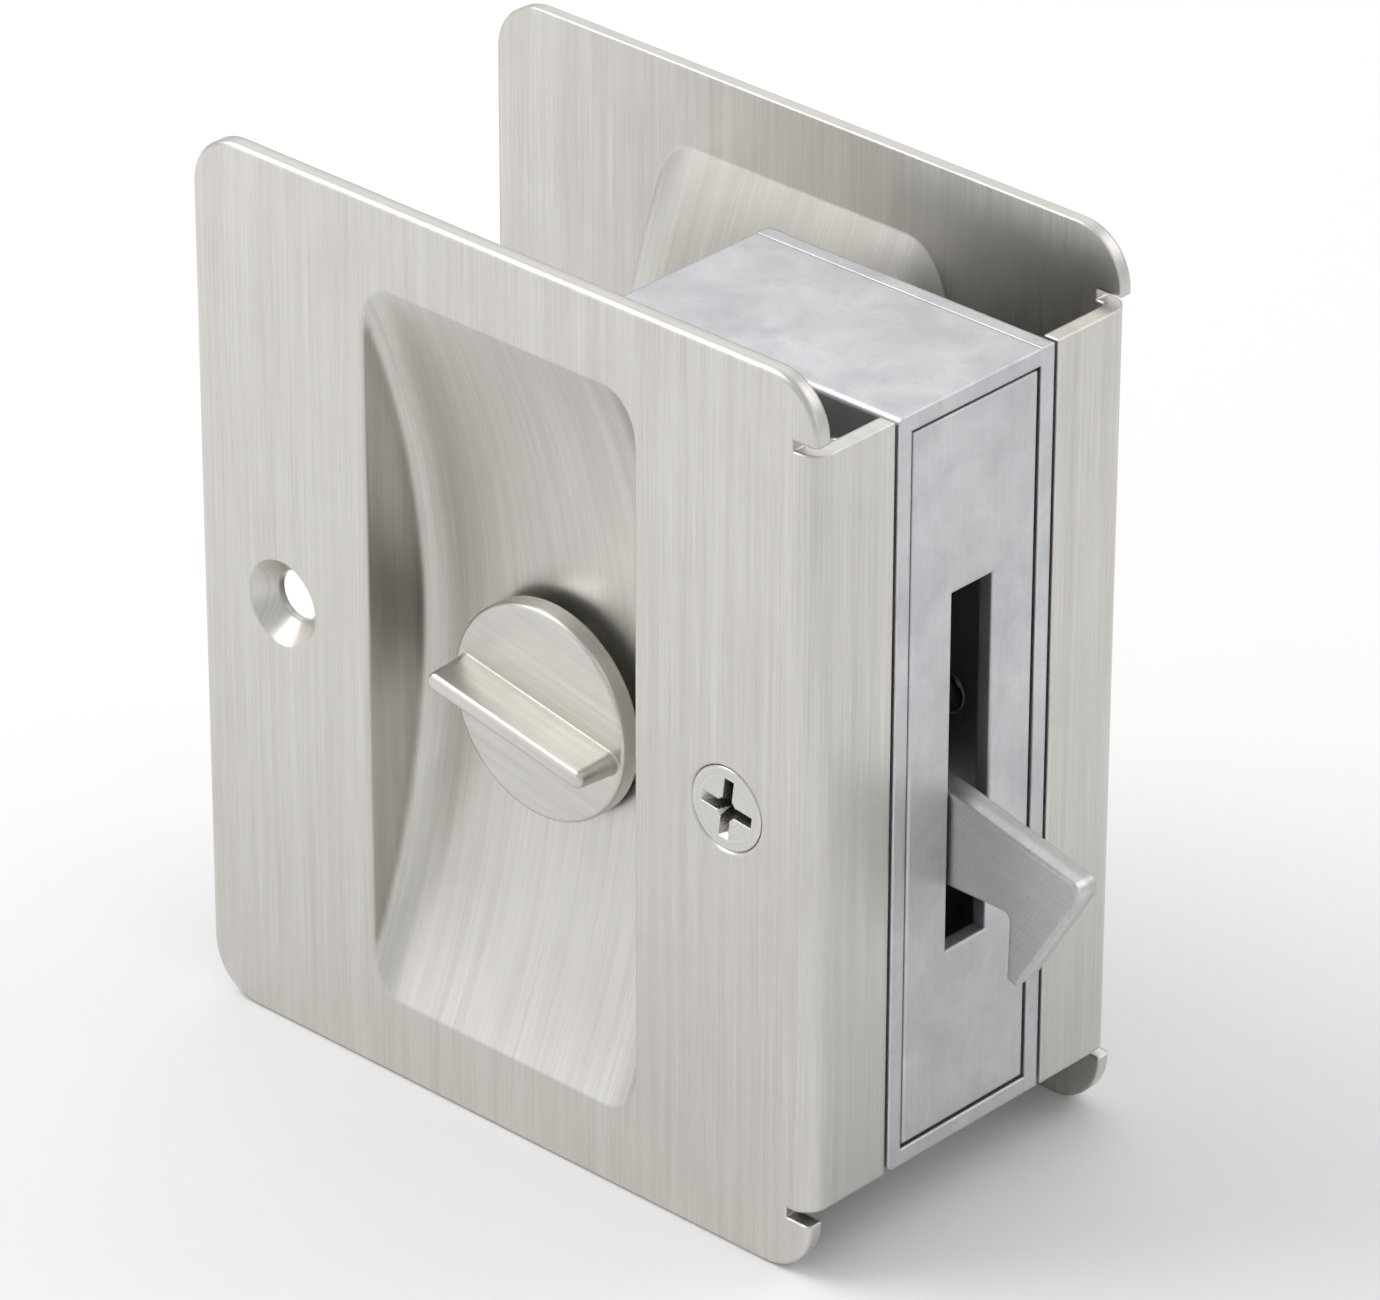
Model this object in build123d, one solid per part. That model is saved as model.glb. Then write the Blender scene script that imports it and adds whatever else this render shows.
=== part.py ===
from build123d import *

import os
from math import atan2, cos, degrees, hypot, radians, sin, sqrt, tan

# Flush privacy lock for a sliding door, in millimetres.
# Two drawn cup plates wrap the door edge, with a lock case between them and a hook out of the edge.
# Frame: +X out of the door edge, +Y from the front plate to the rear plate, +Z up.
# The origin lies on the edge face, in the door's mid-plane, at mid-height.

# Plates
overall_thickness = 38.0
plate_width = 69.85
plate_height = 82.55
plate_corner = 5.0
plate_edge_round = 0.5
sheet = 1.5

# Finger cups
cup_width = 30.5
cup_height = 67.5
cup_depth = 7.9
cup_round_width = 3.4
cup_round_depth = 1.7
cup_lip_round = 0.4

# Flanges folded round the door edge
flange_height = 69.85
bend_radius = 0.5
relief_width = 1.0
relief_depth = 0.6
flange_to_case = 0.5

# Screw holes in the plates
hole_to_edge = 9.525
hole_diameter = 4.6
countersink_diameter = 8.0
countersink_angle = 82.0
hole_land = 0.6
dimple_wall = 0.9

# Lock case
case_depth = 31.0
case_height = 69.85
case_wall = 1.5
case_bend = 0.6
cup_to_case = 0.25
lug_radius = 13.6
lug_blend = 2.0
hub_pocket_radius = 8.6
hub_pocket_depth = 3.35

# Edge panel
panel_sheet = 1.5
panel_gap = 0.35
panel_recess = 0.05
panel_bend = 0.4
panel_edge_round = 0.25
slot_width = 5.0
slot_height = 33.4
ear_length = 10.0
ear_height = 8.0
ear_to_end = 0.6

# Shouldered rivets of the case
rivet_shoulder_diameter = 5.0
rivet_tenon_diameter = 3.0
rivet_head_diameter = 5.4
rivet_head_height = 0.7
front_rivet_to_edge = 6.0
back_rivet_to_back = 5.0
back_rivet_to_end = 6.0
rivet_fit = 0.03

# Spindle, turns and their clips
spindle_side = 4.0
spindle_drop = 2.8
spindle_fit = 0.08
socket_floor = 1.4
turn_diameter = 19.6
turn_face_depth = 4.6
turn_thickness = 1.8
turn_edge_round = 0.4
turn_neck_diameter = 12.0
turn_shank_diameter = 8.0
turn_hole_fit = 0.1
turn_clearance = 0.3
fin_length = 18.6
fin_thickness = 2.2
fin_below_plate = 0.4
fin_taper_angle = 4.0
fin_edge_round = 0.5
fin_tilt = 10.5
button_diameter = 13.0
button_face_depth = 5.2
coin_slot_width = 1.5
coin_slot_length = 10.4
coin_slot_depth = 1.0
washer_sheet = 0.4
washer_rise = 0.3
washer_width = 2.4
washer_gap = 0.1
clip_sheet = 0.7
clip_diameter = 13.6
groove_depth = 0.6
shank_past_clip = 0.8

# Hook
hook_thickness = 2.5
hook_offset = 0.95
hook_reach = 14.4
hook_nose_drop = 5.5
hook_top_drop = 2.0
hook_neck_bottom = 10.7
hook_tip_drop = 17.3
hook_tip_reach = 7.3
hook_tip_width = 1.1
hook_tip_rise = 0.4
hook_throat_reach = 6.4
hook_nose_round = 1.2
hook_tip_round = 0.5
hook_throat_round = 0.8
hook_edge_round = 0.3
hook_boss_diameter = 12.0
hook_neck_back = 10.0
pivot_to_edge = 14.0
pivot_drop = 12.0
pivot_diameter = 5.0
pivot_fit = 0.05
spacer_wall = 2.0
spacer_gap = 0.15

# Drive from the hub to the hook
turn_angle = 90.0
hook_angle = 67.5
finger_count = 3
finger_round = 2.0
finger_neck = 3.2
finger_thickness = 3.2
mesh_clearance = 0.2
tooth_height = 0.75
hub_diameter = 12.0
hub_flat = 5.3
hub_journal_fit = 0.05
hub_end_gap = 0.2
notch_angles = (16, 26, 36)
notch_angle_step = 0.5

# Detent spring
leaf_sheet = 0.5
leaf_gap = 0.1
leaf_to_fingers = 0.3
leaf_to_cover = 0.55

# Plate screws and posts
screw_diameter = 3.5
screw_fit = 0.05
screw_length = 9.0
head_gap = 0.05
cross_width = 0.9
cross_length = 4.6
cross_depth = 1.1
post_diameter = 7.0
post_spigot_diameter = 4.0

# Planes and places that several pieces share
front_face = -overall_thickness / 2
inner_face = front_face + sheet
plate_middle = -plate_width / 2
cup_radius = ((cup_height / 2) ** 2 + cup_depth ** 2) / (2 * cup_depth)
cup_axis = front_face + cup_depth - cup_radius
cup_back = front_face + cup_depth + sheet
case_half = -(cup_back + cup_to_case)
case_inner = case_half - case_wall
hub_pocket_face = case_half - hub_pocket_depth
pocket_inner = hub_pocket_face - case_wall
spindle = Vector(plate_middle, -spindle_drop)
pivot = Vector(-pivot_to_edge, -pivot_drop)
hole_places = (-plate_width + hole_to_edge, -hole_to_edge)
hole_radius = hole_diameter / 2
countersink_radius = countersink_diameter / 2
countersink_depth = (countersink_radius - hole_radius) / tan(radians(countersink_angle / 2))
dimple_end = front_face + countersink_depth + hole_land

# Mesh of the hub's fingers with the hook's notches
drive_ratio = hook_angle / turn_angle
centre_distance = hypot(pivot.X - spindle.X, pivot.Y - spindle.Y)
centre_angle = degrees(atan2(pivot.Y - spindle.Y, pivot.X - spindle.X))
finger_circle = centre_distance * drive_ratio / (1 + drive_ratio)
notch_circle = centre_distance - finger_circle
finger_step = turn_angle / (finger_count - 1)
notch_step = hook_angle / (finger_count - 1)


def slab(outline, y_from, y_to):
    # A flat outline in X and Z, thick from one Y to another
    return extrude(Plane.XZ.offset(-y_from) * outline, amount=y_to - y_from, dir=(0, 1, 0))


def rod(place, radius, y_from, y_to):
    return slab(Pos(place.X, place.Y) * Circle(radius), y_from, y_to)


def turned(place, *outline):
    # A round piece about an axis along Y, from points of radius and Y
    return Pos(place.X, 0, place.Y) * revolve(Polygon(*outline, align=None), Axis.Y)


def at_angle(centre, distance, angle):
    return (centre.X + distance * cos(radians(angle)), centre.Y + distance * sin(radians(angle)))


def floor_depth(z):
    # Depth of the cup floor under the plate's face at a height
    return cup_depth - cup_radius + sqrt(cup_radius**2 - z**2)


def seat_depth(radius):
    # Depth that a flat round face of this radius can reach before it meets the cup floor
    return floor_depth(spindle_drop + radius) - turn_clearance


def scoop(half_width, radius, round_width, round_depth):
    # Cup space turned about a level axis in front of the plate; the elliptic rounds of its section
    # give the cup's outline rounded corners where the shallow ends meet the plate
    near = front_face - sheet
    far = cup_axis + radius
    left, right = plate_middle - half_width, plate_middle + half_width
    bend = far - round_depth
    section = Line((left, near), (right, near))
    section += Line((right, near), (right, bend))
    section += EllipticalCenterArc((right - round_width, bend), round_width, round_depth, 0, arc_size=90)
    section += Line((right - round_width, far), (left + round_width, far))
    section += EllipticalCenterArc((left + round_width, bend), round_width, round_depth, 90, arc_size=90)
    section += Line((left, bend), (left, near))
    swing = degrees(atan2(plate_height / 2, cup_radius - cup_depth))
    axis = Axis((0, cup_axis, 0), (1, 0, 0))
    return revolve(make_face(section), axis, 2 * swing).rotate(axis, -swing)


def make_plate():
    # Rounded blank with a soft front edge
    outline = Pos(plate_middle, 0) * RectangleRounded(plate_width, plate_height, plate_corner)
    plate = slab(outline, front_face, inner_face)
    plate = fillet(plate.faces().sort_by(Axis.Y)[0].edges(), plate_edge_round)
    # Flange, bent out of the straight part of the edge between two relief cuts
    bend_start = -(bend_radius + sheet + relief_depth)
    relief = Pos(bend_start / 2, 0) * Rectangle(-bend_start, flange_height + 2 * relief_width)
    plate -= slab(relief, front_face, inner_face)
    strip = Polygon(
        (bend_start, front_face),
        (0, front_face),
        (0, -(case_half + flange_to_case)),
        (-sheet, -(case_half + flange_to_case)),
        (-sheet, inner_face),
        (bend_start, inner_face),
        align=None,
    )
    strip = fillet(strip.vertices().sort_by_distance((0, front_face))[0], bend_radius + sheet)
    strip = fillet(strip.vertices().sort_by_distance((-sheet, inner_face))[0], bend_radius)
    plate += extrude(strip, amount=flange_height / 2, both=True)
    # Drawn cup: the outer scoop behind the sheet, then the finger space
    behind_depth = sheet / 2 - inner_face
    behind = Pos(plate_middle, -behind_depth / 2, 0) * Box(plate_width, behind_depth, plate_height)
    outer = scoop(cup_width / 2 + sheet, cup_radius + sheet, cup_round_width + sheet, cup_round_depth + sheet)
    plate += outer & behind
    plate -= scoop(cup_width / 2, cup_radius, cup_round_width, cup_round_depth)
    lip = [
        edge
        for edge in plate.faces().sort_by(Axis.Y)[0].edges()
        if abs(edge.center().X - plate_middle) < cup_width / 2 + cup_lip_round
        and abs(edge.center().Z) < cup_height / 2 + cup_lip_round
    ]
    plate = fillet(lip, cup_lip_round)
    # Dimpled countersinks, and the hole for the turn
    for x in hole_places:
        place = Vector(x, 0)
        plate += turned(
            place,
            (0, inner_face - sheet / 2),
            (countersink_radius + dimple_wall / 2, inner_face - sheet / 2),
            (countersink_radius + dimple_wall / 2, inner_face),
            (hole_radius + dimple_wall, dimple_end),
            (0, dimple_end),
        )
        plate -= turned(
            place,
            (0, front_face),
            (countersink_radius, front_face),
            (hole_radius, front_face + countersink_depth),
            (hole_radius, dimple_end),
            (0, dimple_end),
        )
    return plate - rod(spindle, turn_shank_diameter / 2 + turn_hole_fit, front_face, 0)


def case_outline(inset, mouth):
    # Box of the case with the round lug behind it, seen from the front
    back = -case_depth + inset
    outline = Pos((back + mouth) / 2, 0) * Rectangle(mouth - back, case_height - 2 * inset)
    outline += Pos(spindle.X, spindle.Y) * Circle(lug_radius - inset)
    meets = outline.vertices().sort_by_distance((back, spindle.Y))[:2]
    return fillet(meets, lug_blend + inset)


def rivet_places():
    front = [Vector(-front_rivet_to_edge, side * ear_middle) for side in (-1, 1)]
    back_x = -case_depth + back_rivet_to_back
    back = [Vector(back_x, side * (case_height / 2 - back_rivet_to_end)) for side in (-1, 1)]
    return front, back


def bored(piece, y_from, y_to):
    # Holes for the rivets and the hook's pin through one side of the case
    for place in front_rivets_at + back_rivets_at + [pivot]:
        piece -= rod(place, rivet_tenon_diameter / 2 + rivet_fit, y_from, y_to)
    return piece


def make_case():
    shell = slab(case_outline(0, 0), -case_half, case_inner)
    side = shell.faces().sort_by(Axis.Y)[0]
    shell = fillet(side.edges().sort_by(Axis.X)[:-1], case_bend)
    shell -= rod(spindle, hub_pocket_radius, -case_half, -hub_pocket_face)
    hollow = slab(case_outline(case_wall, case_wall), -case_inner, case_inner)
    hollow -= rod(spindle, hub_pocket_radius + case_wall, -case_inner, -pocket_inner)
    shell -= hollow
    shell -= rod(spindle, turn_shank_diameter / 2 + hub_journal_fit, -hub_pocket_face, -pocket_inner)
    shell -= rod(post_at, post_spigot_diameter / 2 + rivet_fit, -case_half, -case_inner)
    return bored(shell, -case_half, -case_inner)


def make_cover():
    cover = slab(case_outline(0, 0), case_inner, case_half)
    cover += rod(spindle, hub_pocket_radius + case_wall, pocket_inner, case_half)
    cover -= rod(spindle, hub_pocket_radius, hub_pocket_face, case_half)
    cover -= rod(spindle, turn_shank_diameter / 2 + hub_journal_fit, pocket_inner, hub_pocket_face)
    cover -= rod(post_at, post_spigot_diameter / 2 + rivet_fit, case_inner, case_half)
    return bored(cover, case_inner, case_half)


def make_edge_panel():
    # Inset panel with the hook's slot, and ears folded back along the case sides
    face_x = -panel_recess
    half_width = case_inner - panel_gap
    back_x = face_x - panel_sheet
    face = Rectangle(2 * half_width, 2 * panel_half_height) - Rectangle(slot_width, slot_height)
    panel = extrude(Plane.YZ.offset(back_x) * face, amount=panel_sheet)
    panel = fillet(panel.faces().sort_by(Axis.X)[-1].edges(), panel_edge_round)
    fold = Polygon(
        (back_x, 0),
        (face_x, 0),
        (face_x, half_width),
        (-ear_length, half_width),
        (-ear_length, half_width - panel_sheet),
        (back_x, half_width - panel_sheet),
        align=None,
    )
    fold = fillet(fold.vertices().sort_by_distance((back_x, half_width - panel_sheet))[0], panel_bend)
    fold = fillet(fold.vertices().sort_by_distance((face_x, half_width))[0], panel_edge_round)
    ear = extrude(fold, amount=ear_height / 2, both=True)
    ear += mirror(ear, about=Plane.XZ)
    for place in front_rivets_at:
        panel += Pos(0, 0, place.Y) * ear
        panel -= rod(place, rivet_tenon_diameter / 2 + rivet_fit, -half_width, half_width)
    return panel


def make_rivet(place, shoulder_end):
    shoulder = rivet_shoulder_diameter / 2
    tenon = rivet_tenon_diameter / 2
    head = rivet_head_diameter / 2
    top = case_half + rivet_head_height
    return turned(
        place,
        (0, -top),
        (head - rivet_head_height / 2, -top),
        (head, -case_half),
        (tenon, -case_half),
        (tenon, -shoulder_end),
        (shoulder, -shoulder_end),
        (shoulder, shoulder_end),
        (tenon, shoulder_end),
        (tenon, case_half),
        (head, case_half),
        (head - rivet_head_height / 2, top),
        (0, top),
    )


def notch_path(turn):
    # Place of a finger's middle in the hook's own frame, with the notch along +X
    x = centre_distance - finger_circle * cos(radians(turn))
    y = finger_circle * sin(radians(turn))
    angle = degrees(atan2(y, x)) - turn * drive_ratio
    distance = hypot(x, y)
    return Vector(distance * cos(radians(angle)), distance * sin(radians(angle)))


def make_notch():
    # Space that a round finger sweeps as it rolls through the hook's tail, with clearance
    reach = finger_round + mesh_clearance
    flank = []
    for turn in notch_angles:
        along = (notch_path(turn + notch_angle_step) - notch_path(turn)).normalized()
        flank.append(notch_path(turn) + Vector(along.Y, -along.X) * reach)
    other = [Vector(point.X, -point.Y) for point in flank]
    outline = Spline(*flank) + Line(flank[-1], other[-1]) + Spline(*other)
    outline += ThreePointArc(flank[0], (notch_circle - reach, 0), other[0])
    return make_face(outline)


def make_hook():
    # Neck, nose and tooth, outside the case and back to the pivot
    top_slope = (hook_nose_drop - hook_top_drop) / hook_reach
    neck = Polygon(
        (pivot.X, -hook_neck_bottom),
        (hook_throat_reach, -hook_neck_bottom),
        (hook_tip_reach - hook_tip_width, -hook_tip_drop + hook_tip_rise),
        (hook_tip_reach, -hook_tip_drop),
        (hook_reach, -hook_nose_drop),
        (-hook_neck_back, -hook_top_drop + hook_neck_back * top_slope),
        align=None,
    )
    nose = neck.vertices().sort_by(Axis.X)[-1]
    neck = fillet(nose, hook_nose_round)
    tips = neck.vertices().sort_by(Axis.Y)[:2]
    neck = fillet(tips, hook_tip_round)
    throat = neck.vertices().sort_by_distance((hook_throat_reach, -hook_neck_bottom))[0]
    neck = fillet(throat, hook_throat_round)
    # Toothed tail, meshing with the hub
    last = centre_angle + 180 + notch_step / 2
    first = last - finger_count * notch_step
    rim = notch_circle + tooth_height
    arc = [at_angle(pivot, rim, angle) for angle in (first, (first + last) / 2, last)]
    sector = Line((pivot.X, pivot.Y), arc[0]) + ThreePointArc(*arc) + Line(arc[-1], (pivot.X, pivot.Y))
    outline = neck + make_face(sector) + Pos(pivot.X, pivot.Y) * Circle(hook_boss_diameter / 2)
    notch = make_notch()
    for number in range(finger_count):
        angle = centre_angle + 180 - number * notch_step
        outline -= Pos(pivot.X, pivot.Y) * Rot(0, 0, angle) * notch
    outline -= Pos(pivot.X, pivot.Y) * Circle(pivot_diameter / 2 + pivot_fit)
    hook = slab(outline, hook_front, hook_back)
    # Tumbled edges outside the case
    sides = hook.edges().group_by(Axis.Y)
    outside = [edge for edge in sides[0] + sides[-1] if edge.center().X > -hook_neck_back]
    return fillet(outside, hook_edge_round)


def make_pivot_pin():
    body = pivot_diameter / 2
    tenon = rivet_tenon_diameter / 2
    return turned(
        pivot,
        (0, -case_half),
        (tenon, -case_half),
        (tenon, -case_inner),
        (body, -case_inner),
        (body, case_inner),
        (tenon, case_inner),
        (tenon, case_half),
        (0, case_half),
    )


def make_spacer(y_from, y_to):
    inside = pivot_diameter / 2 + pivot_fit
    outside = inside + spacer_wall
    return turned(pivot, (inside, y_from), (outside, y_from), (outside, y_to), (inside, y_to))


def make_hub():
    core = hub_diameter / 2
    journal = turn_shank_diameter / 2
    end = pocket_inner - hub_end_gap
    hub = turned(
        spindle,
        (0, -hub_pocket_face),
        (journal, -hub_pocket_face),
        (journal, -end),
        (core, -end),
        (core, end),
        (journal, end),
        (journal, hub_pocket_face),
        (0, hub_pocket_face),
    )
    # Two flats for the leaf, a quarter turn apart
    off = core - hub_flat
    hub -= Pos(spindle.X - hub_flat - off / 2, 0, spindle.Y) * Box(off, 2 * end, hub_diameter)
    hub -= Pos(spindle.X, 0, spindle.Y - hub_flat - off / 2) * Box(hub_diameter, 2 * end, off)
    # Fingers with round ends
    middle = (hook_front + hook_back) / 2
    finger = Pos(finger_circle / 2, 0) * Rectangle(finger_circle, finger_neck)
    finger += Pos(finger_circle, 0) * Circle(finger_round)
    for number in range(finger_count):
        turned_finger = Rot(0, 0, centre_angle + number * finger_step) * finger
        placed = Pos(spindle.X, spindle.Y) * turned_finger
        hub += slab(placed, middle - finger_thickness / 2, middle + finger_thickness / 2)
    return hub - square_bar(spindle_side + 2 * spindle_fit, -hub_pocket_face, hub_pocket_face)


def square_bar(side, y_from, y_to):
    square = Rot(0, 0, -fin_tilt) * Rectangle(side, side)
    return slab(Pos(spindle.X, spindle.Y) * square, y_from, y_to)


def make_leaf():
    # Beside the fingers, so that only the hub's flats and corner meet it
    leaf_front = (hook_front + hook_back + finger_thickness) / 2 + leaf_to_fingers
    leaf_back = pocket_inner - leaf_to_cover
    face_x = spindle.X - hub_flat - leaf_gap
    away = hub_flat + leaf_gap + leaf_sheet
    half_length = sqrt((lug_radius - case_wall) ** 2 - away**2) - leaf_gap
    leaf = Pos(face_x - leaf_sheet / 2, spindle.Y) * Rectangle(leaf_sheet, 2 * half_length)
    return slab(leaf, leaf_front, leaf_back)


def make_shank(start):
    # Neck and grooved shank of a turn, from its face in the cup to behind the clip
    neck = turn_neck_diameter / 2
    shank = turn_shank_diameter / 2
    neck_end = front_face + seat_depth(neck)
    return turned(
        spindle,
        (0, start),
        (neck, start),
        (neck, neck_end),
        (shank, neck_end),
        (shank, clip_start),
        (shank - groove_depth, clip_start),
        (shank - groove_depth, clip_end),
        (shank, clip_end),
        (shank, shank_end),
        (0, shank_end),
    )


def make_thumb_turn():
    face = front_face + turn_face_depth
    base = rod(spindle, turn_diameter / 2, face, face + turn_thickness)
    base = fillet(base.edges().group_by(Axis.Y)[0], turn_edge_round)
    # Thin fin, drafted towards its rounded edge
    outline = Pos(spindle.X, spindle.Y) * Rot(0, 0, -fin_tilt) * SlotOverall(fin_length, fin_thickness)
    height = turn_face_depth - fin_below_plate
    fin = extrude(Plane.XZ.offset(-face) * outline, amount=height, taper=fin_taper_angle)
    fin = fillet(fin.edges().group_by(Axis.Y)[0], fin_edge_round)
    turn = base + fin + make_shank(face + turn_thickness / 2)
    socket_end = face + socket_floor
    return turn - square_bar(spindle_side + 2 * spindle_fit, socket_end, shank_end)


def make_emergency_turn():
    # Built in the front cup, then mirrored into the rear one
    face = front_face + button_face_depth
    button = rod(spindle, button_diameter / 2, face, front_face + seat_depth(button_diameter / 2))
    button = fillet(button.edges().group_by(Axis.Y)[0], turn_edge_round)
    turn = button + make_shank(face + turn_edge_round)
    slot = Pos(spindle.X, spindle.Y) * Rot(0, 0, -fin_tilt) * Rectangle(coin_slot_length, coin_slot_width)
    turn -= slab(slot, face, face + coin_slot_depth)
    socket_end = face + coin_slot_depth + socket_floor
    turn -= square_bar(spindle_side + 2 * spindle_fit, socket_end, shank_end)
    return mirror(turn, about=Plane.XZ)


def make_washer():
    # Coned spring washer between the cup's back and the clip
    inside = turn_shank_diameter / 2 + turn_hole_fit
    outside = inside + washer_width
    return turned(
        spindle,
        (outside, washer_start),
        (outside, washer_start + washer_sheet),
        (inside, washer_start + washer_sheet + washer_rise),
        (inside, washer_start + washer_rise),
    )


def make_clip():
    inside = turn_shank_diameter / 2 - groove_depth
    outside = clip_diameter / 2
    return turned(
        spindle, (inside, clip_start), (outside, clip_start), (outside, clip_end), (inside, clip_end)
    )


def make_post():
    # Tapped post riveted into the case side, carrying the plate's dimple
    outside = post_diameter / 2
    spigot = post_spigot_diameter / 2
    bore = screw_diameter / 2 + screw_fit
    return turned(
        post_at,
        (bore, dimple_end),
        (outside, dimple_end),
        (outside, -case_half),
        (spigot, -case_half),
        (spigot, -case_inner),
        (bore, -case_inner),
    )


def make_screw():
    # Flat head with a cross recess
    shank = screw_diameter / 2
    top = front_face + head_gap
    head = countersink_radius - 2 * head_gap
    head_end = top + (head - shank) / tan(radians(countersink_angle / 2))
    screw = turned(
        post_at,
        (0, top),
        (head, top),
        (shank, head_end),
        (shank, top + screw_length),
        (0, top + screw_length),
    )
    cross = Rectangle(cross_length, cross_width) + Rectangle(cross_width, cross_length)
    return screw - slab(Pos(post_at.X, post_at.Y) * cross, top, top + cross_depth)


# Places that follow from the pieces above
panel_half_height = case_height / 2 - case_wall - panel_gap
ear_middle = panel_half_height - ear_to_end - ear_height / 2
ear_inner = case_inner - panel_gap - panel_sheet
front_rivets_at, back_rivets_at = rivet_places()
post_at = Vector(-hole_to_edge, 0)
hook_front = -(hook_offset + hook_thickness / 2)
hook_back = hook_front + hook_thickness
washer_start = cup_back + washer_gap
clip_start = washer_start + washer_sheet + washer_rise
clip_end = clip_start + clip_sheet
shank_end = clip_end + shank_past_clip
spindle_start = front_face + turn_face_depth + socket_floor
spindle_end = -(front_face + button_face_depth + coin_slot_depth + socket_floor)

front_plate = make_plate()
washer = make_washer()
clip = make_clip()
post = make_post()
screw = make_screw()

nodes = {
    "front_plate": front_plate,
    "rear_plate": mirror(front_plate, about=Plane.XZ),
    "lock_case": make_case(),
    "case_cover": make_cover(),
    "edge_panel": make_edge_panel(),
    "front_rivets": Compound([make_rivet(place, ear_inner) for place in front_rivets_at]),
    "back_rivets": Compound([make_rivet(place, case_inner) for place in back_rivets_at]),
    "hook": make_hook(),
    "hook_pivot_pin": make_pivot_pin(),
    "front_spacer": make_spacer(-case_inner, hook_front - spacer_gap),
    "rear_spacer": make_spacer(hook_back + spacer_gap, case_inner),
    "hub": make_hub(),
    "detent_leaf": make_leaf(),
    "spindle": square_bar(spindle_side, spindle_start, spindle_end),
    "thumb_turn": make_thumb_turn(),
    "thumb_turn_washer": washer,
    "thumb_turn_clip": clip,
    "emergency_turn": make_emergency_turn(),
    "emergency_washer": mirror(washer, about=Plane.XZ),
    "emergency_clip": mirror(clip, about=Plane.XZ),
    "front_post": post,
    "rear_post": mirror(post, about=Plane.XZ),
    "front_plate_screw": screw,
    "rear_plate_screw": mirror(screw, about=Plane.XZ),
}

os.makedirs("parts", exist_ok=True)
for name, shape in nodes.items():
    export_step(shape, f"parts/{name}.step")
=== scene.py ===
import math

import bpy
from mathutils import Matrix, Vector


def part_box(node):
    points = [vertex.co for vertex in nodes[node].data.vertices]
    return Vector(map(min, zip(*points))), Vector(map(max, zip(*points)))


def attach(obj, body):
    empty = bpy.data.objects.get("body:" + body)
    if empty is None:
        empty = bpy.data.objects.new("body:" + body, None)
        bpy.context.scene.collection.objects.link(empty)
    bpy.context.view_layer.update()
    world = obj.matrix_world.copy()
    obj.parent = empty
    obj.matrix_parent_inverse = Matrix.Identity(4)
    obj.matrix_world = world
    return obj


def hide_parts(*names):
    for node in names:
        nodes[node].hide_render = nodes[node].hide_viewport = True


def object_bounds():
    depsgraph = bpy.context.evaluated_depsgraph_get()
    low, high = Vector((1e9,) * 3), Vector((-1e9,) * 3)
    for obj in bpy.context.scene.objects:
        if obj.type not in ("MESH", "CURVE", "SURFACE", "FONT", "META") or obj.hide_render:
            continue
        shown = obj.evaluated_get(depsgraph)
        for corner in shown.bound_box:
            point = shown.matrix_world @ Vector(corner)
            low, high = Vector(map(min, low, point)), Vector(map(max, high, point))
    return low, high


# Flush privacy lock of a sliding door, dressed as plated sheet metal; lengths are in metres
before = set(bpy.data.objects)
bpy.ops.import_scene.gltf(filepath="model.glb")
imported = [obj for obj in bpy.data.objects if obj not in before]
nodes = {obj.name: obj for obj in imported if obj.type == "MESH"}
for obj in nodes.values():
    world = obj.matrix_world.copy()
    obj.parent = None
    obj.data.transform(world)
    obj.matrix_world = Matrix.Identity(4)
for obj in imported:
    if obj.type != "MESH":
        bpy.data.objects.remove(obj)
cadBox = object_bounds()
print("frame: loaded", len(nodes), "nodes")


# Helpers that build node trees
def feed(tree, socket, value):
    if isinstance(value, bpy.types.NodeSocket):
        tree.links.new(value, socket)
    else:
        socket.default_value = value


def addNode(tree, kind, sockets=None, **settings):
    node = tree.nodes.new(kind)
    for name, value in settings.items():
        setattr(node, name, value)
    for name, value in (sockets or {}).items():
        feed(tree, node.inputs[name], value)
    return node


def fill(tree, node, *values):
    # Feeds a node's sockets in their order
    for socket, value in zip(node.inputs, values):
        feed(tree, socket, value)
    return node.outputs[0]


def calc(tree, operation, *values):
    return fill(tree, addNode(tree, "ShaderNodeMath", operation=operation), *values)


def spread(tree, value, fromLow, fromHigh, toLow=0.0, toHigh=1.0):
    node = addNode(tree, "ShaderNodeMapRange")
    return fill(tree, node, value, fromLow, fromHigh, toLow, toHigh)


def mixColour(tree, factor, first, second):
    sockets = {0: factor, 6: first, 7: second}
    return addNode(tree, "ShaderNodeMix", sockets, data_type="RGBA").outputs[2]


def blendValue(tree, factor, first, second):
    sockets = {0: factor, 2: first, 3: second}
    return addNode(tree, "ShaderNodeMix", sockets, data_type="FLOAT").outputs[0]


def triple(tree, x=0.0, y=0.0, z=0.0):
    return addNode(tree, "ShaderNodeCombineXYZ", {"X": x, "Y": y, "Z": z}).outputs[0]


def split(tree, vector):
    return addNode(tree, "ShaderNodeSeparateXYZ", {0: vector}).outputs


def surfaceNormal(tree):
    return addNode(tree, "ShaderNodeNewGeometry").outputs["Normal"]


def noise(tree, vector, scale, detail=2.0, roughness=0.5, distortion=0.0):
    sockets = {
        "Vector": vector,
        "Scale": scale,
        "Detail": detail,
        "Roughness": roughness,
        "Distortion": distortion,
    }
    return addNode(tree, "ShaderNodeTexNoise", sockets).outputs[0]


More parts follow.
